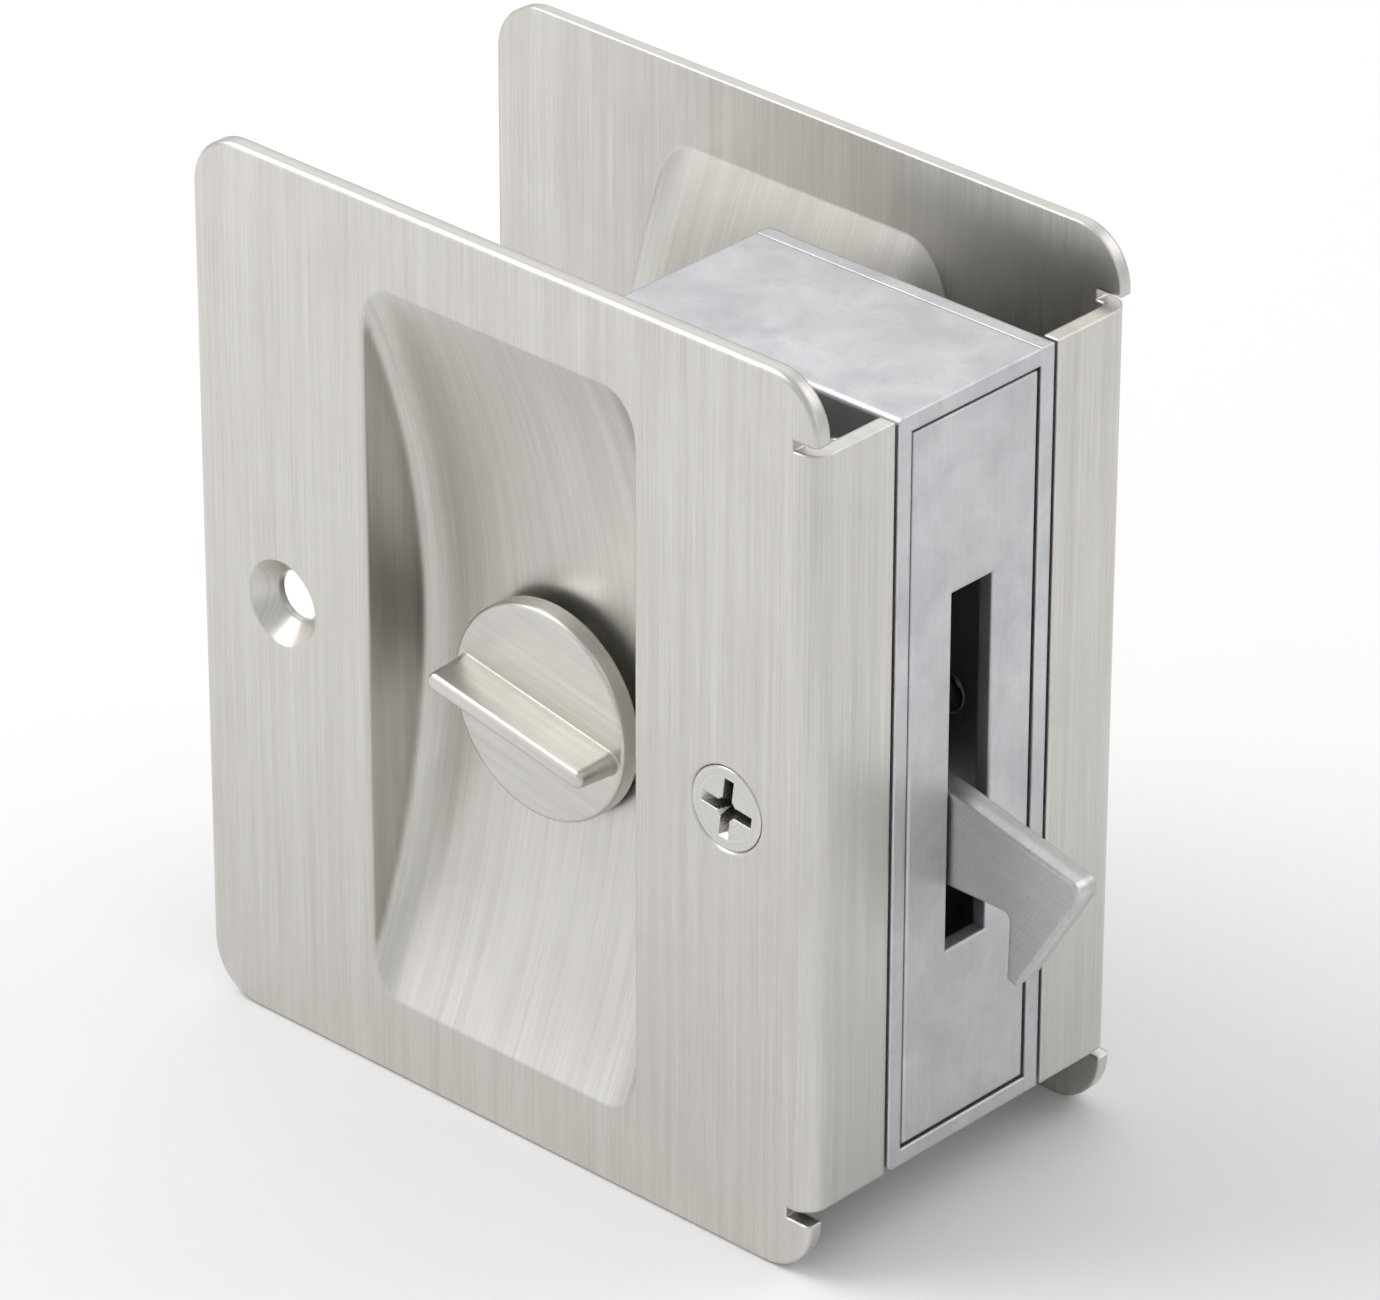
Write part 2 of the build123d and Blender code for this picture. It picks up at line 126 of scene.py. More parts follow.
# Camera
cameraSet = {
    "azimuth": 43.107,
    "elevation": 28.619,
    "distance": 0.70502,
    "lens": 219.4,
    "sensorWidth": 36.0,
    "shiftX": 0.0243,
    "shiftY": -0.0192,
    "nearClip": 0.01,
}
plateLow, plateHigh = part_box("front_plate")
lockMiddle = Vector(((plateLow[0] + plateHigh[0]) / 2, 0, 0))


def direction(azimuth, elevation):
    # From the lock towards a camera or lamp; azimuth 0 is square on to the thumb-turn side
    side, up = math.radians(azimuth), math.radians(elevation)
    return Vector((math.sin(side) * math.cos(up), -math.cos(side) * math.cos(up), math.sin(up)))


def aim(thing, azimuth, elevation, distance):
    facing = direction(azimuth, elevation)
    thing.location = lockMiddle + facing * distance
    thing.rotation_euler = facing.to_track_quat("Z", "Y").to_euler()
    bpy.context.scene.collection.objects.link(thing)


def makeCamera():
    lens = bpy.data.cameras.new("camera")
    lens.sensor_fit = "HORIZONTAL"
    lens.sensor_width = cameraSet["sensorWidth"]
    lens.lens = cameraSet["lens"]
    lens.shift_x = cameraSet["shiftX"]
    lens.shift_y = cameraSet["shiftY"]
    lens.clip_start = cameraSet["nearClip"]
    camera = bpy.data.objects.new("camera", lens)
    aim(camera, cameraSet["azimuth"], cameraSet["elevation"], cameraSet["distance"])
    bpy.context.scene.camera = camera


makeCamera()
bpy.context.scene.view_settings.view_transform = "Standard"
print("camera: placed")


# Studio: a pale floor, soft boxes and a pale grey surround
studioSet = {
    "floorSide": 8.0,
    "floorColour": (0.86, 0.86, 0.86, 1.0),
    "floorRoughness": 0.9,
    "surroundColour": (0.66, 0.66, 0.67, 1.0),
    "lamps": {  # azimuth, elevation, distance, side, power
        "keyBox": (-58, 50, 0.95, 0.60, 4.4),
        "fillBox": (96, 22, 1.00, 0.50, 0.62),
        "backBox": (222, 40, 1.05, 0.80, 1.2),
        "frontBox": (-38, 14, 0.90, 0.45, 0.44),
        "rearBox": (150, 38, 1.00, 0.60, 1.6),
    },
}


def makeFloor():
    half = studioSet["floorSide"] / 2
    base = cadBox[0][2]
    corners = [(-half, -half, base), (half, -half, base), (half, half, base), (-half, half, base)]
    mesh = bpy.data.meshes.new("floor")
    mesh.from_pydata(corners, [], [(0, 1, 2, 3)])
    floor = bpy.data.objects.new("floor", mesh)
    bpy.context.scene.collection.objects.link(floor)
    paper = bpy.data.materials.new("palePaper")
    paper.use_nodes = True
    shader = paper.node_tree.nodes["Principled BSDF"]
    shader.inputs["Base Color"].default_value = studioSet["floorColour"]
    shader.inputs["Roughness"].default_value = studioSet["floorRoughness"]
    shader.inputs["Specular IOR Level"].default_value = 0.0
    mesh.materials.append(paper)


def makeSurround():
    world = bpy.data.worlds.new("surround")
    bpy.context.scene.world = world
    world.use_nodes = True
    background = world.node_tree.nodes["Background"]
    background.inputs["Color"].default_value = studioSet["surroundColour"]


def makeLamps():
    for name, (azimuth, elevation, distance, side, power) in studioSet["lamps"].items():
        light = bpy.data.lights.new(name, "AREA")
        light.size = side
        light.energy = power
        aim(bpy.data.objects.new(name, light), azimuth, elevation, distance)


makeFloor()
makeSurround()
makeLamps()
print("studio: floor, surround and", len(studioSet["lamps"]), "lamps")


# Effects that several finishes share
def newGroup(name, takes, gives):
    group = bpy.data.node_groups.new(name, "ShaderNodeTree")
    for label, kind in takes.items():
        group.interface.new_socket(label, in_out="INPUT", socket_type="NodeSocket" + kind)
    for label, kind in gives.items():
        group.interface.new_socket(label, in_out="OUTPUT", socket_type="NodeSocket" + kind)
    return group, addNode(group, "NodeGroupInput").outputs, addNode(group, "NodeGroupOutput").inputs


def useGroup(tree, group, **sockets):
    return addNode(tree, "ShaderNodeGroup", sockets, node_tree=group).outputs


brushedSet = {"broadScale": 0.17, "broadShare": 0.35, "span": (0.34, 0.66)}


def makeBrushedGrain():
    # Scratches of a belt along the vector's third axis
    takes = {"Vector": "Vector", "Across": "Float", "Along": "Float"}
    group, takes, gives = newGroup("brushedGrain", takes, {"Streak": "Float"})
    parts = split(group, takes["Vector"])
    across = [calc(group, "MULTIPLY", parts[axis], takes["Across"]) for axis in ("X", "Y")]
    stretched = triple(group, *across, calc(group, "MULTIPLY", parts["Z"], takes["Along"]))
    fine = noise(group, stretched, 1.0, detail=4.0, roughness=0.7)
    broad = noise(group, stretched, brushedSet["broadScale"])
    both = blendValue(group, brushedSet["broadShare"], fine, broad)
    feed(group, gives["Streak"], spread(group, both, *brushedSet["span"]))
    return group


wearSet = {"samples": 6, "cornerSpan": (0.995, 0.80), "rubSpan": (0.30, 0.62), "rubLeast": 0.15}


def makeEdgeWear():
    # Rubbed corners, broken up by noise, with the corner's rounded normal
    takes = {"Vector": "Vector", "Radius": "Float", "Breakup": "Float"}
    group, takes, gives = newGroup("edgeWear", takes, {"Worn": "Float", "Normal": "Vector"})
    sockets = {"Radius": takes["Radius"]}
    rounded = addNode(group, "ShaderNodeBevel", sockets, samples=wearSet["samples"]).outputs[0]
    sockets = {0: rounded, 1: surfaceNormal(group)}
    alike = addNode(group, "ShaderNodeVectorMath", sockets, operation="DOT_PRODUCT").outputs["Value"]
    corner = spread(group, alike, *wearSet["cornerSpan"])
    patches = noise(group, takes["Vector"], takes["Breakup"], detail=3.0)
    rubbed = spread(group, patches, *wearSet["rubSpan"], wearSet["rubLeast"], 1.0)
    feed(group, gives["Worn"], calc(group, "MULTIPLY", corner, rubbed))
    feed(group, gives["Normal"], rounded)
    return group


smearSet = {"swirl": 1.4, "span": (0.40, 0.70)}


def makeHandling():
    # Faint smears of hands and wiping
    takes = {"Vector": "Vector", "Scale": "Float"}
    group, takes, gives = newGroup("handling", takes, {"Smear": "Float"})
    sockets = {"detail": 4.0, "roughness": 0.6, "distortion": smearSet["swirl"]}
    cloud = noise(group, takes["Vector"], takes["Scale"], **sockets)
    feed(group, gives["Smear"], spread(group, cloud, *smearSet["span"]))
    return group


ringSpan = (0.34, 0.66)


def makeTurnedRings():
    # Tool marks round an axis along Y through the vector's origin
    takes = {"Vector": "Vector", "Rings": "Float"}
    group, takes, gives = newGroup("turnedRings", takes, {"Ring": "Float"})
    parts = split(group, takes["Vector"])
    flat = triple(group, parts["X"], parts["Z"])
    away = addNode(group, "ShaderNodeVectorMath", {0: flat}, operation="LENGTH").outputs["Value"]
    rolled = [calc(group, "MULTIPLY", part, takes["Rings"]) for part in (away, parts["Y"])]
    marks = noise(group, triple(group, *rolled), 1.0, detail=3.0, roughness=0.6)
    feed(group, gives["Ring"], spread(group, marks, *ringSpan))
    return group


bathSet = {"swirl": 0.6, "cloudSpan": (0.32, 0.70), "speckSpan": (0.05, 0.22)}


def makePlatingBloom():
    # Cloudy tone and small dull specks of a zinc bath
    takes = {"Vector": "Vector", "Cloud": "Float", "Specks": "Float"}
    group, takes, gives = newGroup("platingBloom", takes, {"Bloom": "Float", "Speck": "Float"})
    sockets = {"detail": 5.0, "roughness": 0.62, "distortion": bathSet["swirl"]}
    cloud = noise(group, takes["Vector"], takes["Cloud"], **sockets)
    feed(group, gives["Bloom"], spread(group, cloud, *bathSet["cloudSpan"]))
    sockets = {"Vector": takes["Vector"], "Scale": takes["Specks"]}
    cells = addNode(group, "ShaderNodeTexVoronoi", sockets).outputs["Distance"]
    feed(group, gives["Speck"], spread(group, cells, *bathSet["speckSpan"], 1.0, 0.0))
    return group


brushedGrain = makeBrushedGrain()
edgeWear = makeEdgeWear()
handling = makeHandling()
turnedRings = makeTurnedRings()
platingBloom = makePlatingBloom()
print("effects: five shared groups")


# Finishes: each pattern gives a tone and a height over the surface, and metal() makes the material
def beltGrain(tree, vector, look):
    sockets = {"Across": look["grainAcross"], "Along": look["grainAlong"]}
    return useGroup(tree, brushedGrain, Vector=vector, **sockets)["Streak"]


def brushedPattern(tree, vector, look):
    if "sheetTurn" in look:
        # On folded and drawn sheet the grain keeps to one line through the bends
        facing = calc(tree, "ABSOLUTE", split(tree, surfaceNormal(tree))["Y"])
        parts = split(tree, vector)
        front = spread(tree, facing, *look["sheetTurn"])
        vector = triple(tree, blendValue(tree, front, parts["Y"], parts["X"]), 0.0, parts["Z"])
    streak = beltGrain(tree, vector, look)
    return streak, streak


def ringPattern(tree, vector, look):
    ring = useGroup(tree, turnedRings, Vector=vector, Rings=look["rings"])["Ring"]
    return ring, ring


def bathPattern(tree, vector, look):
    bath = useGroup(tree, platingBloom, Vector=vector, Cloud=look["cloud"], Specks=look["specks"])
    rolled = beltGrain(tree, vector, look)
    tone = blendValue(tree, look["rolledShare"], bath["Bloom"], rolled)
    tone = calc(tree, "MULTIPLY", tone, spread(tree, bath["Speck"], 0.0, 1.0, 1.0, look["speckDark"]))
    return tone, blendValue(tree, look["speckRelief"], rolled, bath["Speck"])


def blankedPattern(tree, vector, look):
    # Tumbled strip with its rolling marks; punched edges with a burnished band and a torn band
    facing = calc(tree, "ABSOLUTE", split(tree, surfaceNormal(tree))["Y"])
    onEdge = spread(tree, facing, *look["edgeTurn"], 1.0, 0.0)
    parts = split(tree, vector)
    across = calc(tree, "MULTIPLY", parts["Y"], look["shearStretch"])
    drawn = triple(tree, parts["X"], across, parts["Z"])
    shear = noise(tree, drawn, look["shear"], detail=3.0, roughness=0.6)
    waver = spread(tree, shear, *look["shearSpan"], -look["tearWaver"], look["tearWaver"])
    torn = spread(tree, calc(tree, "ADD", parts["Y"], waver), *look["tearSpan"])
    tumbled = noise(tree, vector, look["tumbled"], detail=4.0, roughness=0.65)
    tumbled = spread(tree, tumbled, *look["tumbledSpan"])
    face = blendValue(tree, look["rolledShare"], tumbled, beltGrain(tree, vector, look))
    bloom = useGroup(tree, platingBloom, Vector=vector, Cloud=look["cloud"])["Bloom"]
    faceTone = calc(tree, "MULTIPLY", face, spread(tree, bloom, 0.0, 1.0, look["bloomDark"], 1.0))
    burnished = spread(tree, shear, *look["shearSpan"], look["shearDark"], 1.0)
    edgeTone = calc(tree, "MULTIPLY", burnished, spread(tree, torn, 0.0, 1.0, 1.0, look["tornDark"]))
    tone = blendValue(tree, onEdge, faceTone, edgeTone)
    return tone, blendValue(tree, onEdge, face, shear)


def metal(name, look, pattern):
    material = bpy.data.materials.new(name)
    material.use_nodes = True
    tree = material.node_tree
    shader = tree.nodes["Principled BSDF"]
    if "placeAttribute" in look:
        kept = addNode(tree, "ShaderNodeAttribute", attribute_name=look["placeAttribute"])
        place = kept.outputs["Vector"]
    else:
        place = addNode(tree, "ShaderNodeTexCoord").outputs["Object"]
    turn = [math.radians(angle) for angle in look.get("grainTurn", (0, 0, 0))]
    sockets = {"Vector": place, "Location": look.get("centre", (0, 0, 0)), "Rotation": turn}
    vector = addNode(tree, "ShaderNodeMapping", sockets, vector_type="TEXTURE").outputs[0]
    tone, height = pattern(tree, vector, look)
    sockets = {"Radius": look["edgeRadius"], "Breakup": look["edgeBreakup"]}
    wear = useGroup(tree, edgeWear, Vector=place, **sockets)
    worn = calc(tree, "MULTIPLY", wear["Worn"], look["wornAmount"])
    smear = useGroup(tree, handling, Vector=place, Scale=look["smearScale"])["Smear"]
    smeared = calc(tree, "MULTIPLY", smear, look["smearAmount"])
    colour = mixColour(tree, tone, look["dark"], look["pale"])
    colour = mixColour(tree, smeared, colour, look["smeared"])
    colour = mixColour(tree, worn, colour, look["bare"])
    if "recessShadeSpan" in look:
        # Painted shade down in a recess: the colour darkens with depth
        depth = split(tree, place)["Y"]
        deep = spread(tree, depth, *look["recessShadeSpan"], 0.0, look["recessShadeAmount"])
        colour = mixColour(tree, deep, colour, look["recessShadeTone"])
    rough = spread(tree, tone, 0.0, 1.0, look["roughHigh"], look["roughLow"])
    rough = calc(tree, "MULTIPLY_ADD", smear, look["smearRough"], rough)
    rough = blendValue(tree, worn, rough, look["wornRough"])
    sockets = {
        "Strength": look["bump"],
        "Distance": look["bumpDepth"],
        "Height": height,
        "Normal": wear["Normal"],
    }
    relief = addNode(tree, "ShaderNodeBump", sockets).outputs[0]
    feed(tree, shader.inputs["Base Color"], colour)
    feed(tree, shader.inputs["Roughness"], rough)
    feed(tree, shader.inputs["Normal"], relief)
    shader.inputs["Metallic"].default_value = 1.0
    return material


def axisOf(node):
    # Where the axis of a piece along Y crosses the middle of the door
    low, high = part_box(node)
    return ((low[0] + high[0]) / 2, 0.0, (low[2] + high[2]) / 2)


commonLook = {
    "edgeRadius": 0.00035,
    "edgeBreakup": 420.0,
    "wornAmount": 0.75,
    "wornRough": 0.20,
    "smearScale": 46.0,
    "smearAmount": 0.22,
    "smearRough": 0.07,
    "bumpDepth": 0.00003,
}
plateLook = {
    **commonLook,
    "dark": (0.560, 0.542, 0.505, 1.0),
    "pale": (0.700, 0.682, 0.645, 1.0),
    "smeared": (0.540, 0.522, 0.490, 1.0),
    "bare": (0.790, 0.775, 0.745, 1.0),
    "grainAcross": 5200.0,
    "grainAlong": 55.0,
    "sheetTurn": (0.58, 0.62),
    "roughHigh": 0.42,
    "roughLow": 0.30,
    "bump": 0.16,
}
finTilt = 10.5  # degrees, the lean of the thumb-turn's fin
turnLook = {
    **plateLook,
    "centre": axisOf("spindle"),
    "grainTurn": (0, 90 + finTilt, 0),
    "grainAcross": 6200.0,
    "grainAlong": 90.0,
    "edgeRadius": 0.00025,
}
caseLook = {
    **commonLook,
    "dark": (0.500, 0.510, 0.525, 1.0),
    "pale": (0.660, 0.670, 0.682, 1.0),
    "smeared": (0.500, 0.505, 0.510, 1.0),
    "bare": (0.740, 0.745, 0.750, 1.0),
    "cloud": 150.0,
    "specks": 900.0,
    "speckDark": 0.55,
    "speckRelief": 0.5,
    "grainAcross": 3600.0,
    "grainAlong": 120.0,
    "rolledShare": 0.30,
    "roughHigh": 0.50,
    "roughLow": 0.33,
    "bump": 0.12,
}
neckTilt = 13.7  # degrees, the lean of the hook's neck
hookLook = {
    **commonLook,
    "dark": (0.470, 0.468, 0.462, 1.0),
    "pale": (0.690, 0.686, 0.676, 1.0),
    "smeared": (0.520, 0.515, 0.505, 1.0),
    "bare": (0.800, 0.795, 0.785, 1.0),
    "edgeTurn": (0.35, 0.75),
    "shear": 4200.0,
    "shearStretch": 0.06,
    "shearSpan": (0.3, 0.7),
    "shearDark": 0.45,
    "tearSpan": (-0.0011, -0.0007),
    "tearWaver": 0.0003,
    "tornDark": 0.35,
    "tumbled": 4600.0,
    "tumbledSpan": (0.32, 0.68),
    "grainTurn": (0, 90 + neckTilt, 0),
    "grainAcross": 4200.0,
    "grainAlong": 130.0,
    "rolledShare": 0.50,
    "cloud": 210.0,
    "bloomDark": 0.65,
    "roughHigh": 0.46,
    "roughLow": 0.28,
    "bump": 0.20,
}
hubLook = {**hookLook, "centre": axisOf("spindle"), "rings": 5200.0}
turnedLook = {
    **commonLook,
    "centre": axisOf("front_post"),
    "dark": (0.560, 0.560, 0.558, 1.0),
    "pale": (0.720, 0.718, 0.712, 1.0),
    "smeared": (0.560, 0.556, 0.550, 1.0),
    "bare": (0.810, 0.806, 0.800, 1.0),
    "rings": 6400.0,
    "roughHigh": 0.40,
    "roughLow": 0.24,
    "bump": 0.18,
}
ownAxisLook = {**turnedLook, "centre": (0.0, 0.0, 0.0), "placeAttribute": "axisPlace"}
barLook = {**turnedLook, "grainTurn": (90, 0, 0), "grainAcross": 5200.0, "grainAlong": 60.0}
springLook = {
    **commonLook,
    "centre": axisOf("spindle"),
    "dark": (0.300, 0.302, 0.312, 1.0),
    "pale": (0.470, 0.468, 0.468, 1.0),
    "smeared": (0.330, 0.318, 0.305, 1.0),
    "bare": (0.620, 0.618, 0.612, 1.0),
    "rings": 5200.0,
    "grainAcross": 4800.0,
    "grainAlong": 70.0,
    "roughHigh": 0.44,
    "roughLow": 0.28,
    "bump": 0.14,
}
turnedNodes = ("front_post", "rear_post", "front_spacer", "rear_spacer", "hook_pivot_pin")
finishes = {
    "satinPlate": (plateLook, brushedPattern, ("front_plate", "rear_plate")),
    "satinTurn": (turnLook, brushedPattern, ("thumb_turn", "emergency_turn")),
    "zincSheet": (caseLook, bathPattern, ("lock_case", "case_cover", "edge_panel")),
    "blankedHook": (hookLook, blankedPattern, ("hook",)),
    "machinedHub": (hubLook, ringPattern, ("hub",)),
    "turnedPost": (turnedLook, ringPattern, turnedNodes),
    "drawnBar": (barLook, brushedPattern, ("spindle",)),
    "springStrip": (springLook, brushedPattern, ("detent_leaf",)),
    "springRing": (springLook, ringPattern, ("thumb_turn_washer", "emergency_washer")),
}
for finishName, (look, pattern, dressed) in finishes.items():
    finish = metal(finishName, look, pattern)
    for nodeName in dressed:
        nodes[nodeName].data.materials.clear()
        nodes[nodeName].data.materials.append(finish)
print("finishes:", len(finishes), "on the packed nodes")


# Fasteners: Geometry Nodes turn each shape on a lathe about Z and set the copies on their axes
socketKinds = {float: "Float", int: "Int", tuple: "Vector", bpy.types.Material: "Material"}
smoothAngle = math.radians(32)
seamGap = 1e-7  # closes the lathe's seam and poles
cutGap = 4e-6  # takes out the slivers that the recess leaves


def newTree(name, sizes):
    # Every size is a named input of the tree
    tree = bpy.data.node_groups.new(name, "GeometryNodeTree")
    for label, size in sizes.items():
        kind = "NodeSocket" + socketKinds[type(size)]
        tree.interface.new_socket(label, in_out="INPUT", socket_type=kind)
    tree.interface.new_socket("Geometry", in_out="OUTPUT", socket_type="NodeSocketGeometry")
    return tree, addNode(tree, "NodeGroupInput").outputs, addNode(tree, "NodeGroupOutput").inputs


def pointIndex(tree):
    return addNode(tree, "GeometryNodeInputIndex").outputs[0]


def ownPlace(tree):
    return split(tree, addNode(tree, "GeometryNodeInputPosition").outputs[0])


def pick(tree, index, values):
    node = addNode(tree, "GeometryNodeIndexSwitch", data_type="FLOAT")
    while len(node.index_switch_items) < len(values):
        node.index_switch_items.new()
    return fill(tree, node, index, *values)


def reshaped(tree, geometry, position):
    sockets = {"Geometry": geometry, "Position": position}
    return addNode(tree, "GeometryNodeSetPosition", sockets).outputs[0]


def welded(tree, geometry, gap):
    sockets = {"Geometry": geometry, "Distance": gap}
    return addNode(tree, "GeometryNodeMergeByDistance", sockets).outputs[0]


def moved(tree, geometry, **sockets):
    return addNode(tree, "GeometryNodeTransform", {"Geometry": geometry, **sockets}).outputs[0]


def joined(tree, *shapes):
    node = addNode(tree, "GeometryNodeJoinGeometry")
    for shape in shapes:
        feed(tree, node.inputs[0], shape)
    return node.outputs[0]


def lathe(tree, profile, segments):
    # Sweeps points of radius and height once round Z
    ring = calc(tree, "ADD", segments, 1.0)
    sockets = {"Vertices X": len(profile), "Vertices Y": ring}
    grid = addNode(tree, "GeometryNodeMeshGrid", sockets).outputs[0]
    index = pointIndex(tree)
    row = calc(tree, "FLOOR", calc(tree, "DIVIDE", calc(tree, "ADD", index, 0.5), ring))
    step = calc(tree, "SUBTRACT", index, calc(tree, "MULTIPLY", row, ring))
    turn = calc(tree, "DIVIDE", calc(tree, "MULTIPLY", step, math.tau), segments)
    radius = pick(tree, row, [point[0] for point in profile])
    height = pick(tree, row, [point[1] for point in profile])
    x = calc(tree, "MULTIPLY", radius, calc(tree, "COSINE", turn))
    y = calc(tree, "MULTIPLY", radius, calc(tree, "SINE", turn))
    return welded(tree, reshaped(tree, grid, triple(tree, x, y, height)), seamGap)


def keepPlace(tree, geometry):
    # The shape's own coordinates, with its axis as Y, for the tool marks
    parts = ownPlace(tree)
    sockets = {
        "Geometry": geometry,
        "Name": ownAxisLook["placeAttribute"],
        "Value": triple(tree, parts["X"], parts["Z"], parts["Y"]),
    }
    settings = {"data_type": "FLOAT_VECTOR", "domain": "POINT"}
    return addNode(tree, "GeometryNodeStoreNamedAttribute", sockets, **settings).outputs[0]


def turnedCopies(tree, shape, points, euler):
    facing = addNode(tree, "FunctionNodeEulerToRotation", {"Euler": euler}).outputs[0]
    sockets = {"Points": points, "Instance": shape, "Rotation": facing}
    copies = addNode(tree, "GeometryNodeInstanceOnPoints", sockets).outputs[0]
    return addNode(tree, "GeometryNodeRealizeInstances", {"Geometry": copies}).outputs[0]


def setPair(tree, shape, takes, gives, firstTurn, turnStep):
    # Two copies on a line, each turned about X, made real and given their material
    sockets = {"Count": 2, "Start Location": takes["Start"], "Offset": takes["Step"]}
    line = addNode(tree, "GeometryNodeMeshLine", sockets).outputs[0]
    angle = calc(tree, "MULTIPLY_ADD", pointIndex(tree), turnStep, firstTurn)
    pair = turnedCopies(tree, shape, line, triple(tree, angle))
    sockets = {"Geometry": pair, "Material": takes["Material"]}
    feed(tree, gives["Geometry"], addNode(tree, "GeometryNodeSetMaterial", sockets).outputs[0])


def bakeTree(name, tree, values, body, slot, *replaced):
    piece = bpy.data.objects.new(name, bpy.data.meshes.new(name))
    bpy.context.scene.collection.objects.link(piece)
    modifier = piece.modifiers.new("shape", "NODES")
    modifier.node_group = tree
    for item in tree.interface.items_tree:
        if item.in_out == "INPUT":
            modifier[item.identifier] = values[item.name]
    shaped = piece.evaluated_get(bpy.context.evaluated_depsgraph_get())
    mesh = bpy.data.meshes.new_from_object(shaped)
    piece.modifiers.clear()
    piece.data = mesh
    for face in mesh.polygons:
        face.use_smooth = True
    mesh.set_sharp_from_angle(angle=smoothAngle)
    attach(piece, body)
    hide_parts(*replaced)
    print("fasteners:", name, len(mesh.polygons), "faces")


# Plate screws: flat heads with a tapered cross recess and a rolled thread
screwLook = {
    **ownAxisLook,
    # Painted shade: the colour darkens towards the bottom of the cross recess
    "recessShadeSpan": (-0.0001, -0.0012),
    "recessShadeAmount": 0.70,
    "recessShadeTone": (0.130, 0.125, 0.115, 1.0),
    "dark": (0.580, 0.562, 0.525, 1.0),
    "pale": (0.730, 0.712, 0.675, 1.0),
    "roughHigh": 0.34,
    "roughLow": 0.20,
    "edgeRadius": 0.00015,
}
screwLow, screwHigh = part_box("front_plate_screw")
screwSet = {
    "Head Radius": (screwHigh[0] - screwLow[0]) / 2,
    "Rim": 0.00012,
    "Cone Slope": math.tan(math.radians(41)),
    "Crest Radius": 0.00174,
    "Core Radius": 0.00145,
    "Length": screwHigh[1] - screwLow[1],
    "Tip": 0.0006,
    "Tip Taper": 0.6,
    "Segments": 64,
    "Pitch": 0.0006,
    "Thread Steps": 28,
    "Cross Reach": 0.0058,
    "Cross Width": 0.00110,
    "Cross Depth": 0.0020,
    "Cross Taper": 0.45,
    "Cross Rise": 1.08,
    "Pilot Point": 0.0001,
    "Pilot Rise": 1.06,
    "Pilot Sides": 24,
    "Twist": math.radians(-7),
    "Start": ((screwLow[0] + screwHigh[0]) / 2, screwLow[1], 0.0),
    "Step": (0.0, -2 * screwLow[1], 0.0),
    "Material": metal("platedScrew", screwLook, ringPattern),
}


def crossRecess(tree, takes):
    # Two tapered wings and a pilot cone, each standing a little above the head
    depth, width = takes["Cross Depth"], takes["Cross Width"]
    sunk = triple(tree, z=calc(tree, "MULTIPLY", depth, -1.0))
    corner = math.sqrt(0.5)
    narrow = calc(tree, "MULTIPLY", takes["Cross Taper"], corner)
    sockets = {"Vertices": 4, "Radius Top": corner, "Radius Bottom": narrow, "Depth": 1.0}
    wing = addNode(tree, "GeometryNodeMeshCone", sockets).outputs[0]
    wing = moved(tree, wing, Rotation=(0, 0, math.radians(45)))
    tall = calc(tree, "MULTIPLY", depth, takes["Cross Rise"])
    size = triple(tree, takes["Cross Reach"], width, tall)
    shapes = []
    for angle in (0, 90):
        rotation = (0, 0, math.radians(angle))
        shapes.append(moved(tree, wing, Translation=sunk, Scale=size, Rotation=rotation))
    sockets = {
        "Vertices": takes["Pilot Sides"],
        "Radius Top": width,
        "Radius Bottom": takes["Pilot Point"],
        "Depth": depth,
    }
    pilot = addNode(tree, "GeometryNodeMeshCone", sockets).outputs[0]
    size = triple(tree, 1.0, 1.0, takes["Pilot Rise"])
    shapes.append(moved(tree, pilot, Translation=sunk, Scale=size))
    return shapes


def rolledThread(tree, takes, top, bottom):
    # A three-sided ridge swept along a helix
    core = takes["Core Radius"]
    run = calc(tree, "SUBTRACT", top, bottom)
    sockets = {
        "Resolution": takes["Thread Steps"],
        "Rotations": calc(tree, "DIVIDE", run, takes["Pitch"]),
        "Start Radius": core,
        "End Radius": core,
        "Height": run,
    }
    helix = addNode(tree, "GeometryNodeCurveSpiral", sockets).outputs[0]
    upright = addNode(tree, "GeometryNodeSetCurveNormal", {"Curve": helix}, mode="Z_UP").outputs[0]
    sockets = {"Resolution": 3, "Radius": calc(tree, "SUBTRACT", takes["Crest Radius"], core)}
    ridge = addNode(tree, "GeometryNodeCurvePrimitiveCircle", sockets).outputs[0]
    sockets = {"Curve": upright, "Profile Curve": ridge, "Fill Caps": True}
    thread = addNode(tree, "GeometryNodeCurveToMesh", sockets).outputs[0]
    return moved(tree, thread, Translation=triple(tree, z=bottom))


